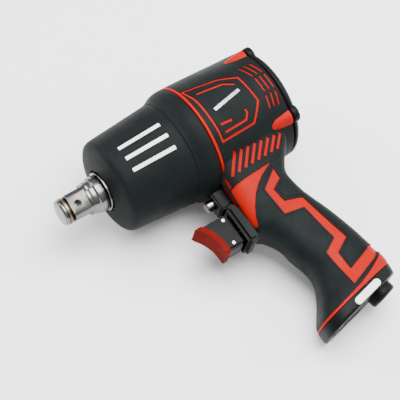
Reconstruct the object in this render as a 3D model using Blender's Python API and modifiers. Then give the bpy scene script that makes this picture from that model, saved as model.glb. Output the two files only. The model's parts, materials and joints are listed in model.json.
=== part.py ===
"""Air impact wrench with a 19.05 mm square drive, lying on its right side.

The world frame: the origin is the centre of the drive square's front end, -Y runs forward out of
the nose, +X towards the foot of the handle, +Z up, which is the tool's left side.
Everything is modelled in the tool's own axes (x down the handle, y rearward, z to the left) under one
empty, which rolls the tool about the drive axis until the barrel and the foot both touch the bench.
"""

import math

import bmesh
import bpy
from mathutils import Matrix, Vector

# ---- Driving dimensions, in millimetres ----
LIE_ROLL_DEG = 7.5          # roll about the drive axis when the tool lies on its side
SQUARE = 19.05              # across flats of the drive
SQUARE_CORNER_R = 11.6      # the square's corners are turned to this radius
SQUARE_TURN_DEG = 17.0      # rest angle of the square about the drive axis
SQUARE_LENGTH = 23.5
COLLAR_R = 13.4             # round collar behind the square
NOSE_FACE = 34.5            # where the nose boot starts, measured back from the drive's end
NOSE_R = 34.0
BOOT_REAR_R = 39.4
FLARE_R = 43.8              # widest radius, where boot and housing meet
JOINT_Y = 108.0             # rear edge of the nose boot
BARREL_END = 172.0
BARREL_END_R = 42.2
OVERALL = 179.0             # to the back of the rear cover
SKIN = 2.2                  # thickness of the moulded-on black grip
GAP = 0.35                  # clearance between neighbouring pieces
LINER_R = 34.4              # bore of the motor housing
MOTOR_R = 34.0
ROTOR_R = 19.0
VANE_BORE_R = 23.0
VANE_BORE_OFFSET = 2.6      # how far the cylinder's bore sits off the drive axis
VANES = 6
PIN_CIRCLE_R = 24.5         # hammer pins
PIN_R = 4.0
SCREW_CIRCLE_R = 38.5       # rear cover screws
LUG_LENGTH = 44.0           # the screw lugs grow out of the barrel over this length
LUG_START_SHARE = 0.86      # how far out, as a share of the screw circle, a lug's tip starts
SHAFT_END = 166.5
FAR = 200.0                 # beyond the rear of the tool, for cutters that run right through
THROTTLE_X = 74.0           # throttle and trigger axis below the drive axis
REVERSE_X = 48.8            # reverse push button's axis
REVERSE_R = 4.1
INLET_Y, INLET_X = 158.5, 160.0   # centre of the air inlet's mouth
INLET_LEAN_DEG = 11.5
FOOT_TILT_DEG = 11.65
SIDES = 32                  # facets round a large turned piece

MM = 0.001

# Handle sections from inside the barrel to the foot:
# (front y, front x, rear y, rear x, half width, squareness of the superellipse).
HANDLE = (
    (104.5, 22.0, 171.0, 22.0, 33.0, 4.5),
    (104.5, 33.0, 169.5, 31.0, 28.8, 4.5),
    (104.5, 44.0, 165.0, 40.5, 25.8, 4.2),
    (104.5, 54.0, 157.0, 50.0, 23.6, 3.9),
    (104.5, 66.0, 152.5, 59.0, 21.4, 3.5),
    (105.5, 83.5, 155.0, 72.0, 19.3, 3.1),
    (112.5, 90.5, 159.0, 83.0, 18.2, 2.8),
    (118.5, 101.0, 163.0, 93.0, 17.6, 2.7),
    (120.5, 112.0, 166.5, 104.0, 17.5, 2.7),
    (124.5, 126.0, 170.0, 117.5, 18.0, 2.7),
    (123.5, 136.5, 172.0, 128.5, 18.5, 2.8),
    (118.0, 147.0, 173.6, 137.0, 20.0, 2.9),
    (112.0, 155.0, 174.6, 143.5, 21.5, 3.0),
    (107.6, 161.0, 174.9, 148.6, 22.4, 3.0),
    (106.6, 165.0, 174.6, 152.3, 22.7, 3.0),
)
FOOT = (
    (106.4, 165.6, 174.4, 152.9, 22.8, 3.0),
    (106.3, 171.8, 173.6, 158.8, 22.6, 3.0),
    (107.4, 173.6, 172.4, 160.4, 21.4, 3.0),
)

for old in list(bpy.data.objects):
    bpy.data.objects.remove(old, do_unlink=True)

PARTS = bpy.data.collections.new("air_impact_wrench")
CUTTERS = bpy.data.collections.new("cutters")
for group in (PARTS, CUTTERS):
    bpy.context.scene.collection.children.link(group)

AXES = bpy.data.objects.new("tool_axes", None)
AXES.rotation_euler = (0, math.radians(LIE_ROLL_DEG), 0)
PARTS.objects.link(AXES)


# ---- Materials ----
def finish(name, colour, roughness, metallic=0.0):
    made = bpy.data.materials.new(name)
    made.use_nodes = True
    shader = made.node_tree.nodes["Principled BSDF"]
    shader.inputs["Base Color"].default_value = (*colour, 1)
    shader.inputs["Roughness"].default_value = roughness
    shader.inputs["Metallic"].default_value = metallic
    return made


BLACK_GRIP = finish("black_grip_rubber", (0.022, 0.028, 0.029), 0.6)
BLACK_PLASTIC = finish("black_moulded_plastic", (0.015, 0.017, 0.018), 0.42)
RED_PLASTIC = finish("red_composite", (0.74, 0.045, 0.025), 0.42)
DARK_RED = finish("dark_red_trigger_plastic", (0.27, 0.012, 0.01), 0.38)
STEEL = finish("ground_steel", (0.6, 0.59, 0.58), 0.3, 1.0)
TOOL_STEEL = finish("phosphated_hammer_steel", (0.18, 0.18, 0.19), 0.42, 1.0)
BRONZE = finish("bronze", (0.42, 0.29, 0.16), 0.4, 1.0)
ALLOY = finish("cast_alloy", (0.62, 0.62, 0.63), 0.5, 1.0)
SEAL_RUBBER = finish("black_seal_rubber", (0.012, 0.012, 0.012), 0.5)
FIBRE = finish("gasket_fibre", (0.3, 0.26, 0.2), 0.85)
FELT = finish("grey_muffler_felt", (0.22, 0.22, 0.21), 0.95)
VANE_FIBRE = finish("brown_vane_composite", (0.2, 0.1, 0.05), 0.6)
WHITE_LABEL = finish("white_label", (0.82, 0.82, 0.8), 0.4)


# ---- Making shapes ----
def place(obj, material=None, at=(0, 0, 0), group=PARTS):
    """Puts an object under the tool's axes, in its collection, with its material."""
    group.objects.link(obj)
    obj.parent = AXES
    obj.location = Vector(at) * MM
    if material:
        obj.data.materials.append(material)
    if group is CUTTERS:
        obj.hide_render = True
        obj.display_type = "WIRE"
    return obj


def new_object(name, bm, material=None, at=(0, 0, 0), group=PARTS, smooth=True):
    bmesh.ops.recalc_face_normals(bm, faces=bm.faces)
    mesh = bpy.data.meshes.new(name)
    bm.to_mesh(mesh)
    bm.free()
    if smooth:
        mesh.shade_smooth()
        mesh.set_sharp_from_angle(angle=math.radians(35))
    return place(bpy.data.objects.new(name, mesh), material, at, group)


def turned(name, profile, material=None, at=(0, 0, 0), axis=(0, 1, 0), sides=SIDES, group=PARTS):
    """A turned piece: (radius, distance along the axis) points, closed round the profile."""
    area = sum(a[0] * b[1] - b[0] * a[1] for a, b in zip(profile, profile[1:] + profile[:1]))
    points = profile if area < 0 else profile[::-1]
    on_axis = [i for i, point in enumerate(points) if point[0] == 0]
    mesh = bpy.data.meshes.new(name)
    if on_axis:
        start = next(i for i in on_axis if points[(i + 1) % len(points)][0] > 0)
        points = points[start:] + points[:start]
        edges = [(i, i + 1) for i in range(len(points) - 1)]
    else:
        edges = [(i, (i + 1) % len(points)) for i in range(len(points))]
    mesh.from_pydata([(r * MM, 0, z * MM) for r, z in points], edges, [])
    obj = place(bpy.data.objects.new(name, mesh), material, at, group)
    obj.rotation_euler = Vector((0, 0, 1)).rotation_difference(Vector(axis)).to_euler()
    screw = obj.modifiers.new("turn", "SCREW")
    screw.steps = screw.render_steps = sides
    screw.use_merge_vertices = True
    screw.merge_threshold = 0.00002
    screw.use_smooth_shade = False
    return obj


def rod(name, radius, start, end, material=None, sides=24, group=PARTS):
    """A plain round bar between two points."""
    start, end = Vector(start), Vector(end)
    profile = [(0, 0), (radius, 0), (radius, (end - start).length), (0, (end - start).length)]
    return turned(name, profile, material, start, (end - start).normalized(), sides, group)


def box(name, low, high, material=None, group=PARTS, bevel=0.0, about_y=0.0, segments=2):
    """A box between two corners, with its edges rounded, turned about the drive axis."""
    bm = bmesh.new()
    bmesh.ops.create_cube(bm, size=1)
    low, high = Vector(low) * MM, Vector(high) * MM
    size = high - low
    middle = Matrix.Translation((low + high) / 2)
    bmesh.ops.transform(bm, matrix=middle @ Matrix.Diagonal((*size, 1)), verts=bm.verts)
    if bevel:
        bmesh.ops.bevel(bm, geom=bm.edges[:], offset=bevel * MM, segments=segments, affect="EDGES")
    bmesh.ops.rotate(bm, matrix=Matrix.Rotation(math.radians(about_y), 3, "Y"), verts=bm.verts)
    return new_object(name, bm, material, group=group)


def lathed_box_set(name, count, low, high, group=CUTTERS):
    """Equal boxes spread round the drive axis, as one object."""
    bm = bmesh.new()
    low, high = Vector(low) * MM, Vector(high) * MM
    for i in range(count):
        made = bmesh.ops.create_cube(bm, size=1)["verts"]
        scale = Matrix.Diagonal((*(high - low), 1))
        turn = Matrix.Rotation(math.tau * i / count, 4, "Y")
        bmesh.ops.transform(bm, matrix=turn @ Matrix.Translation((low + high) / 2) @ scale, verts=made)
    return new_object(name, bm, group=group)


def cut(obj, *cutters, operation="DIFFERENCE"):
    for cutter in cutters:
        step = obj.modifiers.new(cutter.name, "BOOLEAN")
        step.operation = operation
        step.object = cutter
    return obj


def handle_ring(section, inset, points=24):
    """One superellipse section of the handle, shrunk by an inset, as points in millimetres."""
    front_y, front_x, rear_y, rear_x, half, squareness = section
    front, rear = Vector((front_x, front_y, 0)), Vector((rear_x, rear_y, 0))
    centre, along = (front + rear) / 2, (rear - front).normalized()
    reach = (rear - front).length / 2 - inset
    ring = []
    for i in range(points):
        angle = math.tau * i / points
        c, s = math.cos(angle), math.sin(angle)
        c, s = (math.copysign(abs(v) ** (2 / squareness), v) for v in (c, s))
        ring.append(centre + along * (reach * c) + Vector((0, 0, (half - inset) * s)))
    return ring


def lofted(name, sections, inset, material=None, group=PARTS, extend=0.0):
    """A closed skin over a run of handle sections; extend carries both end sections further on."""
    rings = [handle_ring(section, inset) for section in sections]
    if extend:
        for end, beside, slot in ((0, 1, 0), (-1, -2, len(rings) + 1)):
            way = (sum(rings[end], Vector()) - sum(rings[beside], Vector())).normalized() * extend
            rings.insert(slot, [point + way for point in rings[end]])
    bm = bmesh.new()
    made = [[bm.verts.new(point * MM) for point in ring] for ring in rings]
    for above, below in zip(made, made[1:]):
        for i in range(len(above)):
            j = (i + 1) % len(above)
            bm.faces.new((above[i], above[j], below[j], below[i]))
    bm.faces.new(made[0])
    bm.faces.new(made[-1])
    return new_object(name, bm, material, group=group)


def ring(inner, outer, start, end):
    """The profile of a plain tube."""
    return [(inner, start), (outer, start), (outer, end), (inner, end)]


# ---- Drive end ----
def drive_end():
    """The anvil with its square drive, the socket retaining ring and its O-ring."""
    profile = [(0, 0), (9.0, 0), (9.65, 0.9), (9.65, 2.6), (7.4, 2.9), (7.4, 6.4),
               (SQUARE_CORNER_R, 6.7), (SQUARE_CORNER_R, SQUARE_LENGTH), (12.3, 24.3), (12.3, 26.4),
               (COLLAR_R, 27.2), (COLLAR_R, 32.6), (11.9, 33.0), (11.9, 51.0), (9.5, 51.6), (9.5, 93.2),
               (7.7, 93.4), (7.7, 98.0), (0, 98.0)]
    anvil = turned("anvil", profile, STEEL)
    bm = bmesh.new()
    for i in range(4):
        made = bmesh.ops.create_cube(bm, size=1)["verts"]
        outward = Matrix.Translation(Vector((SQUARE / 2 + 5, SQUARE_LENGTH / 2 - 2.4, 0)) * MM)
        turn = Matrix.Rotation(math.radians(90 * i - 90 + SQUARE_TURN_DEG), 4, "Y")
        size = Matrix.Diagonal((10 * MM, (SQUARE_LENGTH - 3.0) * MM, 34 * MM, 1))
        bmesh.ops.transform(bm, matrix=turn @ outward @ size, verts=made)
    flats = new_object("drive_flat_cutter", bm, group=CUTTERS)
    facing = Vector((math.sin(math.radians(SQUARE_TURN_DEG)), 0, math.cos(math.radians(SQUARE_TURN_DEG))))
    along = Vector((0, 12.2, 0))
    hole = rod("retaining_hole_cutter", 2.8, facing * 7.2 + along, facing * 14 + along, group=CUTTERS, sides=16)
    jaws = box("anvil_jaw_cutter", (-14.2, 57.5, -4.0), (2, 72.0, 4.0), group=CUTTERS)
    jaws_rear = box("anvil_rear_jaw_cutter", (-2, 77.5, -4.0), (14.2, 92.0, 4.0), group=CUTTERS)
    cut(anvil, flats, hole)
    cut(anvil, jaws, jaws_rear, operation="UNION")
    turned("anvil_o_ring", ring(7.7, 9.0, 4.9, 6.1), SEAL_RUBBER, sides=24)
    retaining = turned("socket_retaining_ring", ring(7.75, 9.9, 3.2, 4.6), BRONZE, sides=32)
    cut(retaining, box("retaining_ring_split", (-12, 2, -0.7), (-6, 6, 0.7), group=CUTTERS, about_y=-150))


def nose():
    """The alloy hammer case, its bushing and nose ring, and the rubber boot over it."""
    turned("nose_ring", ring(12.3, 14.6, 33.4, 36.6), STEEL, sides=32)
    turned("anvil_bushing", ring(12.25, 14.7, 37.0, 50.4), BRONZE, sides=32)
    outside = [(15.0, 37.2), (22.0, 38.7), (28.9, 41.6), (NOSE_R - 2.9, 46.0), (BOOT_REAR_R - 2.9, 92.0),
               (40.6, 97.5), (40.6, 104.0)]
    inside = [(34.6, 104.0), (34.6, 99.0), (33.6, 98.6), (29.9, 52.6), (26.0, 51.0), (15.0, 50.8)]
    turned("hammer_case", outside + inside, ALLOY)
    boot_outside = [(15.2, NOSE_FACE), (25.0, 37.2), (30.8, 39.8), (33.2, 42.0), (NOSE_R, 45.0),
                    (BOOT_REAR_R, 93.0), (41.8, 97.2), (FLARE_R, 101.5), (FLARE_R + 0.3, JOINT_Y)]
    boot_inside = [(41.0, JOINT_Y), (41.0, 97.3), (BOOT_REAR_R - 2.5, 91.8), (NOSE_R - 2.5, 45.4),
                   (29.2, 40.8), (22.3, 38.0), (15.2, 36.8)]
    turned("nose_boot", boot_outside + boot_inside, BLACK_GRIP)
    turned("case_gasket", ring(34.8, 40.4, 104.4, 105.2), FIBRE)


def hammers():
    """The hammer cage with its two pins, and the two hammers that swing on them."""
    cage = turned("hammer_cage", ring(12.6, 29.0, 53.2, 56.4), TOOL_STEEL)
    rear = turned("cage_rear_cutter", ring(8.2, 29.0, 93.6, 98.2), group=CUTTERS)
    hub = turned("cage_hub_cutter", ring(8.2, 12.5, 98.0, 103.0), group=CUTTERS, sides=24)
    webs = []
    for side in (-1, 1):
        webs.append(box(f"cage_web_{side}_cutter", (26.4, 55.0, -7.5), (28.6, 95.0, 7.5), group=CUTTERS,
                        about_y=0 if side > 0 else 180))
    cut(cage, rear, hub, *webs, operation="UNION")
    for side in (-1, 1):
        pin_z = side * PIN_CIRCLE_R
        cut(cage, rod(f"cage_pin_hole_{side}", PIN_R + GAP, (0, 50, pin_z), (0, 100, pin_z), sides=16,
                      group=CUTTERS))
    spans = ((56.8, 74.7, 1, "front_hammer"), (75.1, 93.2, -1, "rear_hammer"))
    for start, end, side, name in spans:
        rod(f"{name}_pin", PIN_R, (0, 53.6, side * PIN_CIRCLE_R), (0, 97.8, side * PIN_CIRCLE_R),
            TOOL_STEEL, 16)
        hammer = turned(name, ring(16.2, 24.2, start, end), TOOL_STEEL)
        lug = box(f"{name}_jaw_cutter", (11.9, start, -4.2), (17.5, end, 4.2), group=CUTTERS,
                  about_y=0 if side > 0 else 180)
        cut(hammer, lug, operation="UNION")
        near = rod(f"{name}_pivot_cutter", PIN_R + GAP, (0, start - 1, side * PIN_CIRCLE_R),
                   (0, end + 1, side * PIN_CIRCLE_R), sides=16, group=CUTTERS)
        far = box(f"{name}_slot_cutter", (-8.5, start - 1, 19.6), (8.5, end + 1, 32), group=CUTTERS,
                  about_y=180 if side > 0 else 0)
        cut(hammer, near, far)


def motor():
    """The vane motor: end plates, bearings, cylinder, rotor and vanes."""
    plate = [(8.6, 106.0), (MOTOR_R, 106.0), (MOTOR_R, 112.0), (8.6, 112.0)]
    front = turned("front_end_plate", plate, ALLOY)
    cut(front, turned("front_bearing_seat", ring(0.5, 16.3, 104.0, 110.4), group=CUTTERS, sides=32))
    turned("front_ball_bearing", ring(8.4, 15.9, 104.6, 110.0), STEEL, sides=32)
    cylinder = turned("motor_cylinder", [(0, 112.3), (MOTOR_R, 112.3), (MOTOR_R, 155.0), (0, 155.0)], ALLOY)
    bore = rod("vane_bore_cutter", VANE_BORE_R, (VANE_BORE_OFFSET, 111, 0), (VANE_BORE_OFFSET, 157, 0),
               sides=SIDES, group=CUTTERS)
    port = box("exhaust_port_cutter", (22, 122, -8), (40, 146, 8), group=CUTTERS)
    cut(cylinder, bore, port)
    shaft = [(0, 98.6), (7.9, 98.6), (7.9, 112.7), (ROTOR_R, 112.7), (ROTOR_R, 154.6), (7.9, 154.6),
             (7.9, SHAFT_END), (0, SHAFT_END)]
    rotor = turned("rotor", shaft, STEEL)
    cut(rotor, lathed_box_set("vane_slot_cutter", VANES, (9.0, 111.0, -1.6), (24.0, 156.0, 1.6)))
    for i in range(VANES):
        box(f"vane_{i + 1}", (9.6, 113.0, -1.25), (18.7, 154.3, 1.25), VANE_FIBRE, about_y=360 * i / VANES)
    rear = turned("rear_end_plate", [(8.6, 155.3), (MOTOR_R, 155.3), (MOTOR_R, 161.6), (8.6, 161.6)], ALLOY)
    cut(rear, turned("rear_bearing_seat", ring(0.5, 16.3, 156.9, 164.0), group=CUTTERS, sides=32))
    turned("rear_ball_bearing", ring(8.3, 15.9, 157.3, 163.0), STEEL, sides=32)


def screw_places():
    for i in range(4):
        angle = math.radians(45 + 90 * i)
        yield i + 1, SCREW_CIRCLE_R * math.cos(angle), SCREW_CIRCLE_R * math.sin(angle)


def lug_profile(extra):
    """A screw lug: a taper that grows out of the barrel towards the rear cover."""
    end = LUG_LENGTH + 2
    return [(0, 0), (1.5 + extra, 0), (5.2 + extra, 22), (6.4 + extra, 32), (6.4 + extra, end), (0, end)]


def lugs(extra, tag):
    made = []
    for number, x, z in screw_places():
        start = Vector((x * LUG_START_SHARE, BARREL_END - LUG_LENGTH, z * LUG_START_SHARE))
        end = Vector((x, BARREL_END, z))
        along = (end - start).normalized()
        made.append(turned(f"lug_{tag}_{number}", lug_profile(extra), at=start, axis=along, sides=16,
                           group=CUTTERS))
    return made


def housing():
    """The red composite motor housing with its handle, and the black grip moulded over it."""
    barrel_r = FLARE_R - SKIN - GAP
    end_r = BARREL_END_R - SKIN - GAP
    outside = [(0, 105.6), (41.2, 105.6), (41.2, 107.0), (FLARE_R, 107.0), (FLARE_R, 110.2),
               (barrel_r, 110.4), (end_r, BARREL_END), (end_r, BARREL_END + 3), (0, BARREL_END + 3)]
    shell = turned("motor_housing", outside, RED_PLASTIC)
    grip = lofted("handle_core_cutter", HANDLE[:-1], SKIN + GAP, group=CUTTERS, extend=1.0)
    foot_band = lofted("foot_band_cutter", HANDLE[-2:], 0.3, group=CUTTERS)
    cut(shell, grip, foot_band, *lugs(0.0, "solid"), operation="UNION")
    trim = rod("housing_end_trim", 60, (0, BARREL_END, 0), (0, FAR, 0), group=CUTTERS)
    liner = rod("housing_bore_cutter", LINER_R, (0, 101, 0), (0, FAR + 1, 0), sides=SIDES + 4, group=CUTTERS)
    pocket = box("trigger_pocket_cutter", (THROTTLE_X - 14.5, 100, -11), (THROTTLE_X + 14.0, 113.5, 11),
                 group=CUTTERS)
    bore = rod("throttle_bore_cutter", 8.1, (THROTTLE_X, 111, 0), (THROTTLE_X, 150, 0), sides=20,
               group=CUTTERS)
    reverse = rod("reverse_bore_cutter", REVERSE_R + 0.5, (REVERSE_X, 100, 0), (REVERSE_X, 126, 0), sides=20,
                  group=CUTTERS)
    lean = math.tan(math.radians(INLET_LEAN_DEG))
    top_y = INLET_Y - (INLET_X - THROTTLE_X) * lean
    below = (INLET_X + 5, INLET_Y + 5 * lean, 0)
    supply = rod("air_supply_cutter", 6.0, (THROTTLE_X, top_y, 0), below, group=CUTTERS)
    seat = rod("inlet_seat_cutter", 10.6, (INLET_X - 22, INLET_Y - 22 * lean, 0), below, group=CUTTERS)
    exhausts = [rod(f"exhaust_way_cutter_{side}", 2.5, (30, 127.6, side * 13.2), (152, 138, side * 8.6),
                    sides=12, group=CUTTERS) for side in (-1, 1)]
    chamber = box("muffler_chamber_cutter", (149, 122.5, -12), (178, 143, 12), group=CUTTERS)
    feed = rod("motor_feed_cutter", 2.9, (20, 122, 0), (THROTTLE_X, 122, 0), sides=14, group=CUTTERS)
    holes = [rod(f"screw_hole_{number}", 2.3, (x, 150, z), (x, BARREL_END + 4, z), sides=12, group=CUTTERS)
             for number, x, z in screw_places()]
    boot_room = turned("boot_clearance", ring(40.6, FLARE_R + 0.9, 90, JOINT_Y + 0.4), group=CUTTERS)
    cut(shell, trim, boot_room, pocket, bore, reverse, supply, seat, *exhausts, chamber, feed, liner, *holes)

    sleeve = turned("barrel_grip", [(FLARE_R - SKIN, 110.7), (FLARE_R, 110.7), (FLARE_R + 0.2, 114),
                                    (BARREL_END_R, BARREL_END), (BARREL_END_R - SKIN, BARREL_END)],
                    BLACK_GRIP)
    throat = lofted("grip_throat_cutter", HANDLE[:-1], SKIN, group=CUTTERS)
    cut(sleeve, *lugs(GAP, "clearance"), throat)
    for name in ("screw_hole_1", "screw_hole_2", "screw_hole_3", "screw_hole_4"):
        cut(sleeve, bpy.data.objects[name])
    cover = lofted("handle_grip", HANDLE[:-2], 0.0, BLACK_GRIP)
    inner = lofted("handle_grip_inside_cutter", HANDLE[:-2], SKIN, group=CUTTERS, extend=4)
    barrel = rod("grip_barrel_cutter", FLARE_R + 0.7, (0, 80, 0), (0, FAR, 0), sides=SIDES, group=CUTTERS)
    mouth = box("grip_mouth_cutter", (THROTTLE_X - 34, 96, -14.9), (THROTTLE_X + 16.6, 116, 14.9),
                group=CUTTERS)
    cut(cover, mouth, barrel, inner)


def rear_cover():
    """The rear cover with its gasket and its four screws."""
    turned("rear_gasket", ring(34.6, 38.9, BARREL_END + 0.4, BARREL_END + 1.2), FIBRE)
    gasket = bpy.data.objects["rear_gasket"]
    start = BARREL_END + 1.5
    rim_r = BARREL_END_R - 0.6
    seat = start + 2.4
    cover = turned("rear_cover", [(0, start + 2.6), (30.0, start + 2.6), (30.0, start), (rim_r, start),
                                  (rim_r, start + 2.8), (39.5, OVERALL - 1.0), (36.5, OVERALL),
                                  (0, OVERALL)], BLACK_PLASTIC)
    ears = [rod(f"cover_ear_{number}", 6.6, (x, start, z), (x, OVERALL - 0.4, z), sides=14, group=CUTTERS)
            for number, x, z in screw_places()]
    cut(cover, *ears, operation="UNION")
    for number, x, z in screw_places():
        clearance = rod(f"cover_hole_{number}", 2.4, (x, 160, z), (x, FAR, z), sides=12, group=CUTTERS)
        sink = rod(f"cover_head_sink_{number}", 4.7, (x, seat - 0.4, z), (x, FAR, z), sides=12, group=CUTTERS)
        cut(cover, clearance, sink)
        cut(gasket, rod(f"gasket_hole_{number}", 2.6, (x, 160, z), (x, FAR, z), sides=12, group=CUTTERS))
        screw = turned(f"rear_cover_screw_{number}",
                       [(0, -18.0), (2.0, -18.0), (2.0, 0), (4.3, 0), (4.3, 2.6), (0, 2.6)], STEEL,
                       at=(x, seat, z), sides=16)
        bm = bmesh.new()
        bmesh.ops.create_cone(bm, segments=6, radius1=2.0 * MM, radius2=2.0 * MM, depth=5 * MM, cap_ends=True)
        bmesh.ops.rotate(bm, matrix=Matrix.Rotation(math.pi / 2, 3, "X"), verts=bm.verts)
        cut(screw, new_object(f"hex_socket_cutter_{number}", bm, at=(x, seat + 3.6, z), group=CUTTERS))


def trigger():
    """The trigger with its shroud, rod and valve, the guide it slides in, and the spring."""
    x = THROTTLE_X
    front, back = 75.0, 96.6
    body = box("trigger_shroud", (x - 12.6, front, -9.0), (x + 12.6, back, 9.0), BLACK_PLASTIC, bevel=2.0)
    pad_arc, pad_x, pad_y = 34.0, x + 8.5, 50.2    # the pad is hollowed round this centre
    arc = rod("trigger_shroud_hollow", pad_arc, (pad_x, pad_y, -20), (pad_x, pad_y, 20), sides=64,
              group=CUTTERS)
    cut(body, arc)
    cut(body, rod("shroud_rod_hole", 2.5, (x, 70, 0), (x, 100, 0), sides=12, group=CUTTERS))
    blade = box("trigger_blade", (x - 13.2, 68.5, -10.0), (x + 13.2, 90.0, 10.0), DARK_RED, bevel=1.2)
    outer = rod("blade_back_cutter", pad_arc - GAP, (pad_x, pad_y, -20), (pad_x, pad_y, 20), sides=64,
                group=CUTTERS)
    inner = rod("blade_front_cutter", pad_arc - 3.6, (pad_x, pad_y - 0.5, -20), (pad_x, pad_y - 0.5, 20),
                sides=64, group=CUTTERS)
    cut(blade, outer, operation="INTERSECT")
    cut(blade, inner)
    rod("trigger_rod", 2.1, (x, 84.4, 0), (x, 127.0, 0), STEEL, 12)
    for number, at_x, at_y, hole_z in ((1, x + 8.5, 89.0, 9.0), (2, x - 9.0, 92.0, 9.0)):
        hole = rod(f"shroud_pin_hole_{number}", 1.5, (at_x, at_y, -12), (at_x, at_y, 12), sides=12,
                   group=CUTTERS)
        cut(body, hole)
        rod(f"trigger_pin_{number}", 1.2, (at_x, at_y, -hole_z), (at_x, at_y, hole_z + 0.1), STEEL, 12)
    guide = box("trigger_guide", (x - 15.6, 97.6, -13.5), (x + 15.8, 106.6, 13.5), BLACK_PLASTIC, bevel=2.4)
    cut(guide, box("guide_opening_cutter", (x - 13.2, 90, -9.6), (x + 13.2, 110, 9.6), group=CUTTERS))
    turned("throttle_bushing", ring(2.6, 7.6, 114.0, 126.0), BRONZE, at=(x, 0, 0), sides=24)
    turned("throttle_valve", [(0, 127.3), (4.0, 127.3), (5.6, 129.0), (5.6, 132.6), (3.0, 133.2), (3.0, 137),
                              (0, 137)], BRONZE, at=(x, 0, 0), sides=24)
    coil("throttle_spring", x, 133.4, 149.5, 4.6, 0.5, 5)


def coil(name, x, start, end, radius, wire, turns):
    """A compression spring round the throttle axis."""
    steps = turns * 11
    curve = bpy.data.curves.new(name, "CURVE")
    curve.dimensions = "3D"
    curve.bevel_depth = wire * MM
    curve.bevel_resolution = 0
    curve.use_fill_caps = True
    spline = curve.splines.new("POLY")
    spline.points.add(steps)
    for i, point in enumerate(spline.points):
        angle = math.tau * turns * i / steps
        y = start + wire + (end - start - 2 * wire) * i / steps
        point.co = (radius * math.cos(angle) * MM, y * MM, radius * math.sin(angle) * MM, 1)
    return place(bpy.data.objects.new(name, curve), STEEL, (x, 0, 0))


def reverse():
    """The reverse valve block under the barrel and the push button with its spool."""
    x = REVERSE_X
    block = box("reverse_valve_block", (x - 6.0, 96.4, -8.2), (x + 9.2, 106.6, 8.2), BLACK_PLASTIC, bevel=1.2)
    cut(block, rod("block_barrel_clearance", FLARE_R + 0.9, (0, 90, 0), (0, 120, 0), sides=SIDES,
                   group=CUTTERS))
    cut(block, rod("block_spool_hole", REVERSE_R + 0.4, (x, 90, 0), (x, 120, 0), sides=20, group=CUTTERS))
    turned("reverse_button", [(0, 90.5), (3.3, 90.5), (REVERSE_R, 91.3), (REVERSE_R, 97.4), (3.3, 97.7),
                              (3.3, 99.7), (REVERSE_R, 100), (REVERSE_R, 105), (2.4, 105.4), (2.4, 109.4),
                              (REVERSE_R, 109.8), (REVERSE_R, 116), (0, 116)], STEEL, at=(x, 0, 0), sides=18)


def foot():
    """The foot cap with its gasket, muffler, air inlet, strainer, screws and label plate."""
    lean = math.radians(INLET_LEAN_DEG)
    down = Vector((math.cos(lean), math.sin(lean), 0))
    mouth = Vector((INLET_X, INLET_Y, 0))
    cap = lofted("foot_cap", FOOT, 0.0, BLACK_PLASTIC)
    cut(cap, rod("foot_inlet_hole", 10.7, mouth - down * 30, mouth + down * 20, group=CUTTERS))
    for i in range(4):
        start = 121 + 6 * i
        cut(cap, box(f"exhaust_slot_cutter_{i}", (154, start, -13), (190, start + 3.5, 13), group=CUTTERS))
    box("exhaust_muffler", (149.6, 123.1, -11.4), (157.6, 142.4, 11.4), FELT, bevel=0.6, segments=1)
    turned("air_inlet_bushing", [(7.2, -18.0), (10.2, -18.0), (10.2, 8.5), (9.2, 9.6), (7.2, 9.6)],
           BLACK_PLASTIC, at=mouth, axis=down, sides=24)
    turned("inlet_strainer", [(0, -16.5), (5.6, -16.5), (6.8, -8.0), (6.8, -6.0), (6.0, -6.0), (5.0, -15.5),
                              (0, -15.5)], STEEL, at=mouth, axis=down, sides=20)
    for number, y, z in ((1, 114.5, 0.0), (2, 147.2, 15.2)):
        top_x = 169.9 - (y - 107.4) * math.tan(math.radians(FOOT_TILT_DEG))
        out = (top_x + 20, y, z)
        cut(cap, rod(f"foot_screw_hole_{number}", 2.3, (top_x - 20, y, z), out, sides=12, group=CUTTERS),
            rod(f"foot_screw_sink_{number}", 4.2, (top_x, y, z), out, sides=14, group=CUTTERS))
        cut(bpy.data.objects["motor_housing"],
            rod(f"foot_thread_{number}", 2.3, (top_x - 9, y, z), out, sides=12, group=CUTTERS))
        turned(f"foot_cap_screw_{number}",
               [(0, -8), (1.9, -8), (1.9, 0.4), (3.8, 0.4), (3.4, 2.6), (0, 2.6)], STEEL,
               at=(top_x, y, z), axis=(1, 0, 0), sides=12)
    label = box("label_plate", (-2.8, -12.5, -0.3), (2.8, 12.5, 0.3), WHITE_LABEL, bevel=0.25, segments=1)
    label.location = Vector((163.3, 142.0, 23.2)) * MM
    label.rotation_euler = (0, 0, math.radians(FOOT_TILT_DEG))
    return cap


drive_end()
nose()
hammers()
motor()
housing()
rear_cover()
trigger()
reverse()
foot()
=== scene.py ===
# %% [markdown]
# # An air impact wrench
# The tool is a short barrel with a square drive in front, a handle that leans back from it, and a
# black grip moulded over a red housing. It lies on its right side on a pale floor. The solids that
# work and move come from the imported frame, and this script gives each one its finish. The outer
# skins are made again here as fine meshes, because their red windows and grooves are what the eye
# reads first.

# %% Load the frame
import json
import math

import bmesh
import bpy
import numpy as np
from mathutils import Matrix, Vector
from mathutils.bvhtree import BVHTree


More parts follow.
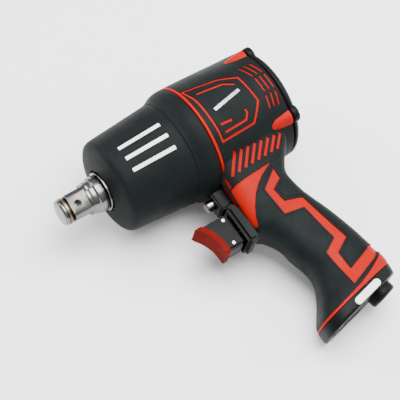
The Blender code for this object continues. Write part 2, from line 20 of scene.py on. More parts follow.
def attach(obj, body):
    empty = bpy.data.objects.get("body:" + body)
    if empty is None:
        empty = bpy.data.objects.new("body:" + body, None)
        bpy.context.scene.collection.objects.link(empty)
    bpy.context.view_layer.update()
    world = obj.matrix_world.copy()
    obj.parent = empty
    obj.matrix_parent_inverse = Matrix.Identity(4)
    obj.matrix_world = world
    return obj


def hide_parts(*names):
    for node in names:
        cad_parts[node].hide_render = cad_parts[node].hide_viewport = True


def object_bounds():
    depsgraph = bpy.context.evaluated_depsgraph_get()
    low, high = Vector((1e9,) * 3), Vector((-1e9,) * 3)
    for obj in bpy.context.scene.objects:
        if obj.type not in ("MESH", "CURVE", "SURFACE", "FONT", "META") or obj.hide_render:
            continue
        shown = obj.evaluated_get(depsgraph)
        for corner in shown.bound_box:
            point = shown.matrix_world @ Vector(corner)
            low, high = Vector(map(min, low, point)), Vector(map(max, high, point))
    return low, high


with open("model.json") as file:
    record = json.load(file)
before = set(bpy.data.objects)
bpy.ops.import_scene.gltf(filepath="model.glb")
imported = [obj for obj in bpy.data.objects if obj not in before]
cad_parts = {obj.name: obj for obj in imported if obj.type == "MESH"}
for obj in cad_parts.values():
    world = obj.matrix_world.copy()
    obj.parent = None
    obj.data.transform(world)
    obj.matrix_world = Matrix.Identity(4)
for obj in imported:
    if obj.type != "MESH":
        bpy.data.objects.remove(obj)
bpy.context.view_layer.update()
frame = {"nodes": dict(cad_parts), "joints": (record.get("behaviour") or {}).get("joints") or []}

# %% [markdown]
# ## The tool's own axes
# The tool is rolled a little as it lies, so its own directions aren't the world's. The first vane
# of the motor slides straight down the handle, which gives one direction; the drive axis is Y; and
# the third is square to both. Everything below is written in these axes and in millimetres, as it
# would be on a drawing: down the handle, rearward, and out of the left side.

# %% Directions and units
MM = 0.001
DOWN = Vector(next(j["axis"] for j in frame["joints"] if j["name"] == "vane_1_slide")).normalized()
REAR = Vector((0, 1, 0))
LEFT = DOWN.cross(REAR)
TOOL = Matrix((DOWN, REAR, LEFT)).transposed().to_4x4()


def tool(down, rear, left):
    """A point of the drawing, in metres in the world."""
    return (DOWN * down + REAR * rear + LEFT * left) * MM


print("down the handle:", [round(v, 3) for v in DOWN])

# %% [markdown]
# ## Driving sizes
# These are the sizes that the outer skins share with the solids beneath them: where the nose boot
# ends, how wide the barrel is, and the sections of the handle.

# %% Sizes, in millimetres
BOOT_END = 108.0
RING_START, RING_END = 108.3, 110.3     # the red ring between boot and grip
BARREL_END = 172.0
FLARE_R, BARREL_END_R = 43.8, 42.2
OVERALL = 179.0
GRIP_THICK = 0.8                        # how far the black grip stands over the red housing
LINER_R = 34.4
THROTTLE_DOWN = 74.0
REVERSE_DOWN = 48.8
SCREW_CIRCLE_R = 38.5
INLET_DOWN, INLET_REAR, INLET_LEAN = 160.0, 158.5, math.radians(11.5)
FOOT_TILT = math.radians(11.65)

# Handle sections: front edge (rear, down), back edge (rear, down), half width, squareness.
GRIP_ROWS = (
    (104.5, 22.0, 171.0, 22.0, 33.0, 4.5), (104.5, 33.0, 169.5, 31.0, 28.8, 4.5),
    (104.5, 44.0, 165.0, 40.5, 25.8, 4.2), (104.5, 54.0, 157.0, 50.0, 23.6, 3.9),
    (104.5, 66.0, 152.5, 59.0, 21.4, 3.5), (105.5, 83.5, 155.0, 72.0, 19.3, 3.1),
    (112.5, 90.5, 159.0, 83.0, 18.2, 2.8), (118.5, 101.0, 163.0, 93.0, 17.6, 2.7),
    (120.5, 112.0, 166.5, 104.0, 17.5, 2.7), (124.5, 126.0, 170.0, 117.5, 18.0, 2.7),
    (123.5, 136.5, 172.0, 128.5, 18.5, 2.8), (118.0, 147.0, 173.6, 137.0, 20.0, 2.9),
    (112.0, 155.0, 174.6, 143.5, 21.5, 3.0), (107.6, 161.0, 174.9, 148.6, 22.4, 3.0),
    (106.6, 165.0, 174.6, 152.3, 22.7, 3.0),
)
FOOT_ROWS = (
    (106.4, 165.6, 174.4, 152.9, 22.8, 3.0), (106.3, 168.6, 174.1, 155.8, 22.75, 3.0),
    (106.3, 171.6, 173.7, 158.6, 22.6, 3.0), (106.7, 173.0, 173.2, 159.9, 22.1, 3.0),
    (107.5, 173.6, 172.3, 160.4, 21.3, 3.0),
)
print("handle rows:", len(GRIP_ROWS), "foot rows:", len(FOOT_ROWS))

# %% [markdown]
# ## The camera and the light
# A product shot: a long lens nearly a metre off, high on the tool's left and towards its nose.
# A wide soft light above, a lower one from the nose's side and a pale surround leave only faint
# shadows.

# %% Camera
CAMERA_TURN, CAMERA_RISE = math.radians(55), math.radians(51.5)   # round and above the tool's left side
CAMERA_ROLL = math.radians(-0.8)
CAMERA_DISTANCE = 0.9
LENS_MM = 117.4
AIM_RIGHT, AIM_UP = 0.0967, 0.0097      # from the drive's end to the middle of the picture
TOOL_LEAN = math.radians(-16)           # how far the view is turned about the drive axis

lean = TOOL.to_3x3() @ Matrix.Rotation(TOOL_LEAN, 3, "Y")
back = lean @ Vector((math.sin(CAMERA_TURN) * math.cos(CAMERA_RISE),
                      -math.cos(CAMERA_TURN) * math.cos(CAMERA_RISE), math.sin(CAMERA_RISE)))
level_right = lean @ Vector((math.cos(CAMERA_TURN), math.sin(CAMERA_TURN), 0))
level_up = back.cross(level_right)
right = level_right * math.cos(CAMERA_ROLL) + level_up * math.sin(CAMERA_ROLL)
up = back.cross(right)
camera = bpy.data.objects.new("camera", bpy.data.cameras.new("camera"))
bpy.context.scene.collection.objects.link(camera)
camera.data.lens = LENS_MM
camera.data.sensor_width = 36
camera.data.clip_start = 0.05
camera.matrix_world = (Matrix.Translation(right * AIM_RIGHT + up * AIM_UP + back * CAMERA_DISTANCE)
                       @ Matrix((right, up, back)).transposed().to_4x4())
bpy.context.scene.camera = camera
print("camera looks along:", [round(-v, 3) for v in back])


# %% Lights and floor
def soft_light(name, place, size, watts, aim=(0.07, 0.1, 0)):
    light = bpy.data.lights.new(name, "AREA")
    light.shape = "DISK"
    light.size = size
    light.energy = watts
    lamp = bpy.data.objects.new(name, light)
    lamp.location = place
    lamp.rotation_euler = (Vector(aim) - Vector(place)).to_track_quat("-Z", "Y").to_euler()
    bpy.context.scene.collection.objects.link(lamp)


soft_light("top_light", (0.05, 0.25, 1.0), 0.9, 30.0)
soft_light("nose_light", (-0.7, -0.45, 0.6), 0.45, 9.0)
soft_light("rear_light", (0.3, 1.0, 0.55), 0.6, 8.0)
world = bpy.data.worlds.new("pale_surround")
world.use_nodes = True
sky = world.node_tree
height = sky.nodes.new("ShaderNodeSeparateXYZ")
sky.links.new(sky.nodes.new("ShaderNodeTexCoord").outputs["Generated"], height.inputs["Vector"])
fade = sky.nodes.new("ShaderNodeMapRange")
sky.links.new(height.outputs["Z"], fade.inputs["Value"])
fade.inputs["From Min"].default_value = 0.0
fade.inputs["From Max"].default_value = 0.9
fade.inputs["To Min"].default_value = 0.25
fade.inputs["To Max"].default_value = 1.25
sky.links.new(fade.outputs["Result"], sky.nodes["Background"].inputs["Strength"])
sky.nodes["Background"].inputs["Color"].default_value = (0.96, 0.98, 1.0, 1)
bpy.context.scene.world = world

# %% [markdown]
# ## Finishes
# Moulded rubber, glass-filled plastic and ground steel all look even from afar and never are: the
# tool's spark-eroded mould leaves a fine grain, hands polish the high places, and a grinding wheel
# leaves lines. Three small node groups make those effects once: `grain` gives height, `handling`
# gives a slow cloud of rubbed and dusty patches, and `turning_lines` gives the fine rings that a
# lathe leaves about an axis. Each material then places them with its own values.


# %% Node helpers
def group_of(name, sockets_in, sockets_out):
    """A shader node group with float inputs (name, default) and float outputs."""
    made = bpy.data.node_groups.new(name, "ShaderNodeTree")
    for label, value in sockets_in:
        socket = made.interface.new_socket(label, in_out="INPUT", socket_type="NodeSocketFloat")
        socket.default_value = value
    for label in sockets_out:
        made.interface.new_socket(label, in_out="OUTPUT", socket_type="NodeSocketFloat")
    return made, made.nodes.new("NodeGroupInput"), made.nodes.new("NodeGroupOutput")


def node(tree, kind, **inputs):
    """A node of that kind, with its inputs set to values or linked from sockets."""
    made = tree.nodes.new(kind)
    for label, value in inputs.items():
        socket = made.inputs[label.replace("_", " ")]
        if isinstance(value, bpy.types.NodeSocket):
            tree.links.new(value, socket)
        else:
            socket.default_value = value
    return made


def math_node(tree, operation, first, second):
    made = tree.nodes.new("ShaderNodeMath")
    made.operation = operation
    for socket, value in zip(made.inputs, (first, second)):
        if isinstance(value, bpy.types.NodeSocket):
            tree.links.new(value, socket)
        else:
            socket.default_value = value
    return made.outputs[0]


# %% Grain: the pebbled skin of a moulding
grain_tree, grain_in, grain_out = group_of("grain", [("Scale", 1500.0), ("Coarse", 0.3)], ["Height"])
where = grain_tree.nodes.new("ShaderNodeTexCoord").outputs["Object"]
pebbles = node(grain_tree, "ShaderNodeTexVoronoi", Vector=where, Scale=grain_in.outputs["Scale"])
wide_scale = math_node(grain_tree, "MULTIPLY", grain_in.outputs["Scale"], 0.23)
waves = node(grain_tree, "ShaderNodeTexNoise", Vector=where, Scale=wide_scale, Detail=3.0)
coarse = math_node(grain_tree, "MULTIPLY", waves.outputs["Fac"], grain_in.outputs["Coarse"])
height = math_node(grain_tree, "ADD", pebbles.outputs["Distance"], coarse)
grain_tree.links.new(height, grain_out.inputs["Height"])

# %% Handling: slow clouds of rubbed and dusty surface
handling_tree, handling_in, handling_out = group_of(
    "handling", [("Scale", 40.0), ("Contrast", 3.0)], ["Rubbed", "Dust"])
where = handling_tree.nodes.new("ShaderNodeTexCoord").outputs["Object"]
cloud = node(handling_tree, "ShaderNodeTexNoise", Vector=where, Scale=handling_in.outputs["Scale"], Detail=6.0,
             Roughness=0.62)
centred = math_node(handling_tree, "SUBTRACT", cloud.outputs["Fac"], 0.5)
spread = math_node(handling_tree, "MULTIPLY", centred, handling_in.outputs["Contrast"])
rubbed = handling_tree.nodes.new("ShaderNodeClamp")
handling_tree.links.new(math_node(handling_tree, "ADD", spread, 0.5), rubbed.inputs["Value"])
handling_tree.links.new(rubbed.outputs[0], handling_out.inputs["Rubbed"])
specks_scale = math_node(handling_tree, "MULTIPLY", handling_in.outputs["Scale"], 18.0)
specks = node(handling_tree, "ShaderNodeTexNoise", Vector=where, Scale=specks_scale, Detail=2.0)
sparse = handling_tree.nodes.new("ShaderNodeClamp")
high_specks = math_node(handling_tree, "SUBTRACT", specks.outputs["Fac"], 0.6)
far_specks = math_node(handling_tree, "MULTIPLY", high_specks, 6.0)
handling_tree.links.new(far_specks, sparse.inputs["Value"])
handling_tree.links.new(sparse.outputs[0], handling_out.inputs["Dust"])

# %% Turning lines: fine rings about the drive axis
lines_tree, lines_in, lines_out = group_of("turning_lines", [("Pitch", 3200.0)], ["Height"])
where = lines_tree.nodes.new("ShaderNodeTexCoord").outputs["Object"]
parts = node(lines_tree, "ShaderNodeSeparateXYZ", Vector=where)
rings = node(lines_tree, "ShaderNodeCombineXYZ", X=math_node(lines_tree, "MULTIPLY", parts.outputs["X"], 0.04),
             Y=parts.outputs["Y"], Z=math_node(lines_tree, "MULTIPLY", parts.outputs["Z"], 0.04))
scratches = node(lines_tree, "ShaderNodeTexNoise", Vector=rings.outputs[0], Scale=lines_in.outputs["Pitch"],
                 Detail=4.0)
lines_tree.links.new(scratches.outputs["Fac"], lines_out.inputs["Height"])
print("node groups:", [g.name for g in bpy.data.node_groups])


# %% [markdown]
# ## One recipe for a finish
# Every finish here is a Principled shader with the same few things over it: a base colour that
# drifts between two close tones where it is rubbed, a roughness that drifts with it, and a bump
# from grain or from turning lines. So one function makes them all, and the values that make rubber
# into steel stay together in a short call. Metallic, coat and the like are the same all over, so
# they are set on the shader itself.


# %% The finish function
def use_group(tree, name, **values):
    made = tree.nodes.new("ShaderNodeGroup")
    made.node_tree = bpy.data.node_groups[name]
    for label, value in values.items():
        made.inputs[label].default_value = value
    return made


def finish(name, tone, rubbed_tone, rough, rubbed_rough, metallic=0.0, grain=0.0, scale=1500.0, coarse=0.3,
           lines=0.0, pitch=3200.0, clouds=40.0, contrast=3.0, dust=0.0, coat=0.0, specular=0.5):
    material = bpy.data.materials.new(name)
    material.use_nodes = True
    tree = material.node_tree
    shader = tree.nodes["Principled BSDF"]
    shader.inputs["Metallic"].default_value = metallic
    shader.inputs["Coat Weight"].default_value = coat
    shader.inputs["Coat Roughness"].default_value = 0.2
    shader.inputs["Specular IOR Level"].default_value = specular
    handled = use_group(tree, "handling", Scale=clouds, Contrast=contrast)
    tones = node(tree, "ShaderNodeMix", Factor=handled.outputs["Rubbed"])
    tones.data_type = "RGBA"
    tones.inputs[6].default_value = (*tone, 1)
    tones.inputs[7].default_value = (*rubbed_tone, 1)
    dusty = tree.nodes.new("ShaderNodeMix")
    dusty.data_type = "RGBA"
    tree.links.new(math_node(tree, "MULTIPLY", handled.outputs["Dust"], dust), dusty.inputs["Factor"])
    tree.links.new(tones.outputs[2], dusty.inputs[6])
    dusty.inputs[7].default_value = (0.5, 0.48, 0.45, 1)
    tree.links.new(dusty.outputs[2], shader.inputs["Base Color"])
    roughness = tree.nodes.new("ShaderNodeMapRange")
    tree.links.new(handled.outputs["Rubbed"], roughness.inputs["Value"])
    roughness.inputs["To Min"].default_value = rough
    roughness.inputs["To Max"].default_value = rubbed_rough
    tree.links.new(roughness.outputs["Result"], shader.inputs["Roughness"])
    if lines:
        height = use_group(tree, "turning_lines", Pitch=pitch)
    else:
        height = use_group(tree, "grain", Scale=scale, Coarse=coarse)
    bump = node(tree, "ShaderNodeBump", Height=height.outputs["Height"], Strength=lines or grain,
                Distance=0.0001)
    tree.links.new(bump.outputs["Normal"], shader.inputs["Normal"])
    return material


# %% The tool's finishes
GRIP_RUBBER = finish("grip_rubber", (0.0050, 0.0066, 0.0070), (0.0072, 0.0092, 0.0096), 0.56, 0.46, grain=0.5,
                     scale=1700, dust=0.008, clouds=55, specular=0.05)
BOOT_RUBBER = finish("boot_rubber", (0.0042, 0.0056, 0.0058), (0.0060, 0.0078, 0.0080), 0.62, 0.52, grain=0.8,
                     scale=1300, coarse=0.6, dust=0.010, specular=0.06)
BLACK_PLASTIC = finish("black_moulded_plastic", (0.0028, 0.0033, 0.0035), (0.0044, 0.0052, 0.0054), 0.46, 0.36,
                       grain=0.22, scale=2600, specular=0.07)
RED_COMPOSITE = finish("red_composite", (0.275, 0.0042, 0.0018), (0.32, 0.0065, 0.0030), 0.5, 0.4, grain=0.25,
                       scale=2100, dust=0.003, specular=0.045)
# Red darkened with painted shade, for the trigger blade's front, which turns away from the lights.
SHADE_PAINTED_RED = finish("dark_red_plastic", (0.095, 0.0035, 0.0026), (0.125, 0.0050, 0.0036), 0.65, 0.55, grain=0.15,
                  specular=0.02)
GROUND_STEEL = finish("ground_steel", (0.115, 0.112, 0.109), (0.17, 0.166, 0.162), 0.30, 0.17, metallic=1.0,
                      lines=0.35, clouds=120, dust=0.04)
FLAT_STEEL = finish("milled_steel", (0.075, 0.0735, 0.067), (0.12, 0.117, 0.107), 0.44, 0.32, metallic=1.0,
                    grain=0.3, scale=900, clouds=160, dust=0.05)
BRIGHT_STEEL = finish("bright_steel", (0.22, 0.22, 0.224), (0.30, 0.30, 0.305), 0.20, 0.11, metallic=1.0,
                      lines=0.2, clouds=150)
HAMMER_STEEL = finish("phosphated_steel", (0.07, 0.07, 0.075), (0.13, 0.13, 0.135), 0.5, 0.38, metallic=1.0,
                      grain=0.4, clouds=90)
BRONZE = finish("oiled_bronze", (0.15, 0.09, 0.05), (0.28, 0.18, 0.10), 0.42, 0.28, metallic=1.0, lines=0.25,
                clouds=200)
CAST_ALLOY = finish("cast_alloy", (0.48, 0.48, 0.49), (0.62, 0.62, 0.63), 0.55, 0.42, metallic=1.0, grain=0.7,
                    scale=900, coarse=0.8)
SEAL_RUBBER = finish("seal_rubber", (0.003, 0.003, 0.003), (0.006, 0.006, 0.006), 0.48, 0.36, grain=0.2,
                     specular=0.2)
GASKET = finish("gasket_fibre", (0.24, 0.2, 0.15), (0.33, 0.28, 0.21), 0.9, 0.8, grain=0.8, scale=700)
FELT = finish("pressed_felt", (0.17, 0.17, 0.16), (0.26, 0.26, 0.25), 0.98, 0.92, grain=1.0, scale=500,
              coarse=1.0)
VANE_LAMINATE = finish("vane_laminate", (0.14, 0.065, 0.03), (0.22, 0.11, 0.055), 0.6, 0.5, grain=0.5,
                       scale=800)
WHITE_LABEL = finish("white_label", (0.74, 0.74, 0.72), (0.82, 0.82, 0.8), 0.35, 0.28, grain=0.1)
WHITE_PRINT = finish("white_print", (0.72, 0.73, 0.74), (0.84, 0.85, 0.86), 0.42, 0.36, grain=0.4, scale=1300)
SILVER_PRINT = finish("silver_print", (0.34, 0.32, 0.29), (0.44, 0.415, 0.38), 0.4, 0.3, metallic=0.6, grain=0.2)
print("finishes:", len(bpy.data.materials))

# %% [markdown]
# ## Finishes on the carried-over pieces
# Most of the tool's pieces are right as they come from the frame, inside and out. Each gets the finish of what it
# is
# made of: bearings and pins bright, hammers phosphated, bushings bronze. The trigger blade's red is darkened
# with painted shade for its front, which faces away from the lights.

# %% Who wears what
WEARS = {
    GROUND_STEEL: ("anvil", "nose_ring"),
    BRIGHT_STEEL: ("reverse_button", "trigger_rod", "trigger_pin_1", "trigger_pin_2", "rotor",
                   "front_ball_bearing", "rear_ball_bearing", "throttle_spring", "inlet_strainer",
                   "foot_cap_screw_1", "foot_cap_screw_2", *(f"rear_cover_screw_{i}" for i in range(1, 5))),
    HAMMER_STEEL: ("hammer_cage", "front_hammer", "rear_hammer", "front_hammer_pin", "rear_hammer_pin"),
    BRONZE: ("socket_retaining_ring", "anvil_bushing", "throttle_bushing", "throttle_valve"),
    CAST_ALLOY: ("hammer_case", "front_end_plate", "rear_end_plate", "motor_cylinder"),
    SEAL_RUBBER: ("anvil_o_ring",),
    BOOT_RUBBER: ("nose_boot",),
    GRIP_RUBBER: ("barrel_grip", "handle_grip"),
    GASKET: ("case_gasket", "rear_gasket"),
    RED_COMPOSITE: ("motor_housing",),
    BLACK_PLASTIC: ("rear_cover", "trigger_guide", "reverse_valve_block", "trigger_shroud", "foot_cap",
                    "air_inlet_bushing"),
    # the trigger blade wears red darkened with painted shade
    SHADE_PAINTED_RED: ("trigger_blade",),
    FELT: ("exhaust_muffler",),
    WHITE_LABEL: ("label_plate",),
    VANE_LAMINATE: tuple(f"vane_{i}" for i in range(1, 7)),
}
for material, names in WEARS.items():
    for name in names:
        frame["nodes"][name].data.materials.clear()
        frame["nodes"][name].data.materials.append(material)
unfinished = set(frame["nodes"]) - {name for names in WEARS.values() for name in names}
print("nodes with a finish:", len(frame["nodes"]) - len(unfinished), "left over:", sorted(unfinished))


# %% [markdown]
# ## Shaping tools
# Four ways of making shapes cover the whole tool. Turned pieces are a profile swept about an axis,
# with its corners rounded so that edges catch the light. The handle is a loft through superellipse
# sections, drawn smooth between the rows. Plates and strips that follow a curved skin are grids
# dropped onto it. And windows, bores and slots are cut with Booleans, as the steel of a mould would
# leave them.


# %% Meshes and Booleans
def piece_of(name, points, faces, material, sharp=38):
    """A mesh object from points in drawing millimetres, shaded smooth up to the sharp angle."""
    bm = bmesh.new()
    verts = [bm.verts.new(tool(*point)) for point in points]
    for face in faces:
        bm.faces.new([verts[i] for i in face])
    bmesh.ops.recalc_face_normals(bm, faces=bm.faces)
    mesh = bpy.data.meshes.new(name)
    bm.to_mesh(mesh)
    bm.free()
    mesh.materials.append(material)
    mesh.shade_smooth()
    mesh.set_sharp_from_angle(angle=math.radians(sharp))
    made = bpy.data.objects.new(name, mesh)
    bpy.context.scene.collection.objects.link(made)
    return made


def carve(obj, cutters, operation="DIFFERENCE", sharp=38):
    """Applies one Boolean for each cutter, keeps the result as the mesh and removes the cutters."""
    for cutter in cutters:
        step = obj.modifiers.new("carve", "BOOLEAN")
        step.operation = operation
        step.object = cutter
        step.material_mode = "INDEX"
    bpy.context.view_layer.update()
    graph = bpy.context.evaluated_depsgraph_get()
    result = bpy.data.meshes.new_from_object(obj.evaluated_get(graph))
    obj.modifiers.clear()
    obj.data = result
    for cutter in cutters:
        bpy.data.objects.remove(cutter, do_unlink=True)
    result.shade_smooth()
    result.set_sharp_from_angle(angle=math.radians(sharp))
    return obj


# %% Turned pieces
def rounded(profile, radius, steps=3):
    """The closed profile with each corner replaced by a short curve, shorter on short edges."""
    points = []
    count = len(profile)
    for i in range(count):
        before, corner, after = (Vector(profile[(i + k) % count]) for k in (-1, 0, 1))
        if corner.x < 1e-6:
            points.append(tuple(corner))
            continue
        reach = [min(radius, (side - corner).length * 0.45) for side in (before, after)]
        start = corner + (before - corner).normalized() * reach[0]
        end = corner + (after - corner).normalized() * reach[1]
        for k in range(steps + 1):
            t = k / steps
            points.append(tuple(start * (1 - t) ** 2 + corner * (2 * t * (1 - t)) + end * t ** 2))
    return points


def turned(name, profile, material=None, at=(0, 0, 0), axis=(0, 1, 0), sides=96, sharp=38):
    """Sweeps (radius, along) points round an axis given in the drawing's directions."""
    spin = Vector((0, 1, 0)).rotation_difference(Vector(axis))
    points, rings = [], []
    for radius, along in profile:
        count = 1 if radius < 1e-6 else sides
        rings.append((len(points), count))
        for i in range(count):
            angle = math.tau * i / sides
            place = Vector((radius * math.sin(angle), along, radius * math.cos(angle)))
            points.append(Vector(at) + spin @ place)
    faces = []
    for (a, a_count), (b, b_count) in zip(rings, rings[1:] + rings[:1]):
        if a_count == 1 and b_count == 1:
            continue
        for i in range(sides):
            j = (i + 1) % sides
            quad = [a + (i if a_count > 1 else 0), a + (j if a_count > 1 else 0),
                    b + (j if b_count > 1 else 0), b + (i if b_count > 1 else 0)]
            faces.append(list(dict.fromkeys(quad)))
    return piece_of(name, points, faces, material or BLACK_PLASTIC, sharp)


def rod(radius, start, end, sides=32):
    """A plain round cutter between two points of the drawing."""
    start, end = Vector(start), Vector(end)
    length = (end - start).length
    profile = [(0, 0), (radius, 0), (radius, length), (0, length)]
    return turned("cutter", profile, at=start, axis=(end - start).normalized(), sides=sides)


def block(name, low, high, material=None, bevel=0.0, segments=3, turn=0.0, tilt=0.0, pivot=None):
    """A box in the drawing's directions, its edges rounded; turned about the drive axis, tilted across it."""
    bm = bmesh.new()
    bmesh.ops.create_cube(bm, size=1)
    low, high = Vector(low), Vector(high)
    middle = (low + high) / 2
    placed = Matrix.Translation(middle) @ Matrix.Diagonal((*(high - low), 1))
    bmesh.ops.transform(bm, matrix=placed, verts=bm.verts)
    if bevel:
        bmesh.ops.bevel(bm, geom=bm.edges[:], offset=bevel, segments=segments, affect="EDGES", profile=0.5)
    bmesh.ops.rotate(bm, matrix=Matrix.Rotation(turn, 3, "Y"), verts=bm.verts)
    bmesh.ops.rotate(bm, matrix=Matrix.Rotation(tilt, 3, "Z"), verts=bm.verts, cent=Vector(pivot or middle))
    bm.verts.index_update()
    points = [v.co.copy() for v in bm.verts]
    faces = [[v.index for v in face.verts] for face in bm.faces]
    bm.free()
    return piece_of(name, points, faces, material or BLACK_PLASTIC)


# %% Lofts through the handle's sections
def smooth_rows(rows, between=4):
    """Rows drawn through the given ones on a Catmull-Rom curve."""
    rows = [np.array(row) for row in rows]
    ends = [2 * rows[0] - rows[1], *rows, 2 * rows[-1] - rows[-2]]
    made = []
    for a, b, c, d in zip(ends, ends[1:], ends[2:], ends[3:]):
        for k in range(between):
            t = k / between
            made.append(0.5 * (2 * b + (c - a) * t + (2 * a - 5 * b + 4 * c - d) * t * t
                               + (3 * b - a - 3 * c + d) * t ** 3))
    return made + [rows[-1]]


def section(row, inset, count=96):
    """The points of one superellipse section, shrunk by the inset."""
    front_rear, front_down, back_rear, back_down, half, squareness = row
    front, rear = Vector((front_down, front_rear, 0)), Vector((back_down, back_rear, 0))
    middle, along = (front + rear) / 2, (rear - front).normalized()
    reach = (rear - front).length / 2 - inset
    points = []
    for i in range(count):
        angle = math.tau * i / count
        c, s = (math.copysign(abs(v) ** (2 / squareness), v) for v in (math.cos(angle), math.sin(angle)))
        points.append(middle + along * (reach * c) + Vector((0, 0, (half - inset) * s)))
    return points


def lofted(name, rows, inset, material=None, extend=(0, 0), count=96, sharp=38):
    """A closed skin through the rows; extend pushes the first and last section further out."""
    rings = [section(row, inset, count) for row in rows]
    for end, beside, reach in ((0, 1, extend[0]), (-1, -2, extend[1])):
        if reach:
            way = (sum(rings[end], Vector()) - sum(rings[beside], Vector())).normalized() * reach
            rings.insert(0 if end == 0 else len(rings), [point + way for point in rings[end]])
    points = [point for ring in rings for point in ring]
    faces = [[r * count + i, r * count + (i + 1) % count, (r + 1) * count + (i + 1) % count, (r + 1) * count + i]
             for r in range(len(rings) - 1) for i in range(count)]
    faces += [list(range(count)), list(range(len(points) - count, len(points)))]
    return piece_of(name, points, faces, material or BLACK_PLASTIC, sharp)


def barrel(inset, start, end):
    """The barrel's solid, in steps short enough to shade smoothly after it is cut."""
    steps = 24
    swell = ((RING_END, FLARE_R), (114.0, FLARE_R + 0.2), (BARREL_END, BARREL_END_R))
    rows = []
    for k in range(steps + 1):
        along = start + (end - start) * k / steps
        rows.append((float(np.interp(along, *zip(*swell))) - inset, along))
    return turned("barrel_solid", [(0, start), *rows, (0, end)], sides=144)


HANDLE = smooth_rows(GRIP_ROWS)
print("handle sections after smoothing:", len(HANDLE))

# %% [markdown]
# ## The red housing
# On the real tool the housing is one red moulding, and the black grip is moulded over it in a
# second shot. So the red body is made whole, with its ring in front, its four screw lugs behind and
# its band at the foot, and then bored as the frame's solid is: for the motor, the throttle, the
# reversing spool, the air supply and the exhaust. What shows later in every window of the grip is
# this one body.


# %% Bores and lugs shared by both mouldings
def screw_places():
    for k in range(4):
        angle = math.radians(45 + 90 * k)
        yield SCREW_CIRCLE_R * math.cos(angle), SCREW_CIRCLE_R * math.sin(angle)


def lug_cutters(extra, end=2.0):
    """Tapered bars that grow out of the barrel towards the rear cover's screws."""
    made = []
    for down, left in screw_places():
        start = Vector((down * 0.86, BARREL_END - 44, left * 0.86))
        finish_at = Vector((down, BARREL_END, left))
        profile = [(0, 0), (1.5 + extra, 0), (5.2 + extra, 22), (6.4 + extra, 32), (6.4 + extra, 44 + end),
                   (0, 44 + end)]
        made.append(turned("lug", profile, RED_COMPOSITE, start, (finish_at - start).normalized(), sides=40))
    return made


def housing_bores():
    lean_share = math.tan(INLET_LEAN)
    mouth = (INLET_DOWN + 5, INLET_REAR + 5 * lean_share, 0)
    top_rear = INLET_REAR - (INLET_DOWN - THROTTLE_DOWN) * lean_share
    cuts = [rod(LINER_R, (0, 100, 0), (0, 200, 0), 96)]
    cuts += [rod(8.1, (THROTTLE_DOWN, 110.9, 0), (THROTTLE_DOWN, 150, 0))]
    cuts += [rod(4.6, (REVERSE_DOWN, 100, 0), (REVERSE_DOWN, 126, 0))]
    cuts += [rod(6.0, (THROTTLE_DOWN, top_rear, 0), mouth)]
    cuts += [rod(10.6, (INLET_DOWN - 22, INLET_REAR - 22 * lean_share, 0), mouth)]
    cuts += [rod(2.3, (down, 150, left), (down, 180, left), 24) for down, left in screw_places()]
    return cuts


# %% The housing itself
red_r = GRIP_THICK
housing = barrel(red_r, 106.0, BARREL_END + 3)
core = lofted("handle_core", HANDLE, red_r, RED_COMPOSITE)
ring_profile = [(0, RING_START), (FLARE_R - 0.2, RING_START), (FLARE_R + 0.1, RING_START + 0.5),
                (FLARE_R + 0.1, RING_END - 0.4), (FLARE_R - 0.2, RING_END), (0, RING_END)]
ring = turned("ring", ring_profile, RED_COMPOSITE, sides=144)
carve(housing, [core, ring, *lug_cutters(0.0)], "UNION")
end_trim = rod(70, (0, BARREL_END, 0), (0, 220, 0))
boot_room = turned("boot_room", [(40.6, 90), (FLARE_R + 0.9, 90), (FLARE_R + 0.9, RING_START),
                                 (40.6, RING_START)])
pocket = block("pocket", (THROTTLE_DOWN - 14.5, 100, -11), (THROTTLE_DOWN + 14, 113.5, 11))
recess = block("recess", (REVERSE_DOWN - 7, 96, -13.9), (THROTTLE_DOWN + 16.2, 106.9, 13.9))
carve(housing, [end_trim, boot_room, recess, pocket, *housing_bores()])
housing.name = "red_motor_housing"
housing.data.materials.clear()
housing.data.materials.append(RED_COMPOSITE)
print("red housing faces:", len(housing.data.polygons))

# %% [markdown]
# ## The black grip and its windows
# The grip is a thin skin over the red body. It starts as the outer surface of barrel and handle
# together, less the same shape a little smaller. The windows are cut by slabs that follow the
# surface: each one is a grid of points dropped onto the skin, thick enough to pass through it, and
# flared at the top so that every edge keeps a small chamfer. Barrel windows are drawn by their
# distance along the barrel and their angle round it, handle windows as seen from the side, and
# every window has a twin on the other side of the tool.


# %% Outer skin
def outer_skin(inset, start, end, extend):
    skin = barrel(inset, start, end)
    return carve(skin, [lofted("handle_skin", HANDLE, inset, extend=extend)], "UNION")


grip = outer_skin(0.0, RING_END + 0.15, BARREL_END, (0, 0))
bm = bmesh.new()
bm.from_mesh(grip.data)
SKIN = BVHTree.FromBMesh(bm)
bm.free()
print("skin faces before cutting:", len(grip.data.polygons))


# %% Points on the skin
ARC_MM = 0.75                           # millimetres round the barrel for one degree


def drop(tree, start, way, near):
    """Where a ray meets the skin, or the nearest point of the skin if it passes beside it."""
    spot, normal, *_ = tree.ray_cast(start, way)
    if spot is None:
        spot, normal, *_ = tree.find_nearest(near)
    return spot, normal


def on_barrel(along, arc, side, tree=None):
    """The skin's point and outward direction at a distance along the barrel and an arc round it."""
    angle = math.radians(arc / ARC_MM if side > 0 else 180 - arc / ARC_MM)
    outward = DOWN * math.sin(angle) + LEFT * math.cos(angle)
    on_axis = REAR * along * MM
    return drop(tree or SKIN, on_axis + outward * 0.09, -outward, on_axis + outward * FLARE_R * MM)


def on_side(along, down, side):
    """The skin's point and outward direction as seen from the side."""
    return drop(SKIN, tool(down, along, 90 * side), LEFT * -side, tool(down, along, 20 * side))


def on_back(left, down, side):
    """The skin's point and outward direction as seen from behind the handle."""
    return drop(SKIN, tool(down, 240, left), -REAR, tool(down, 179, left))


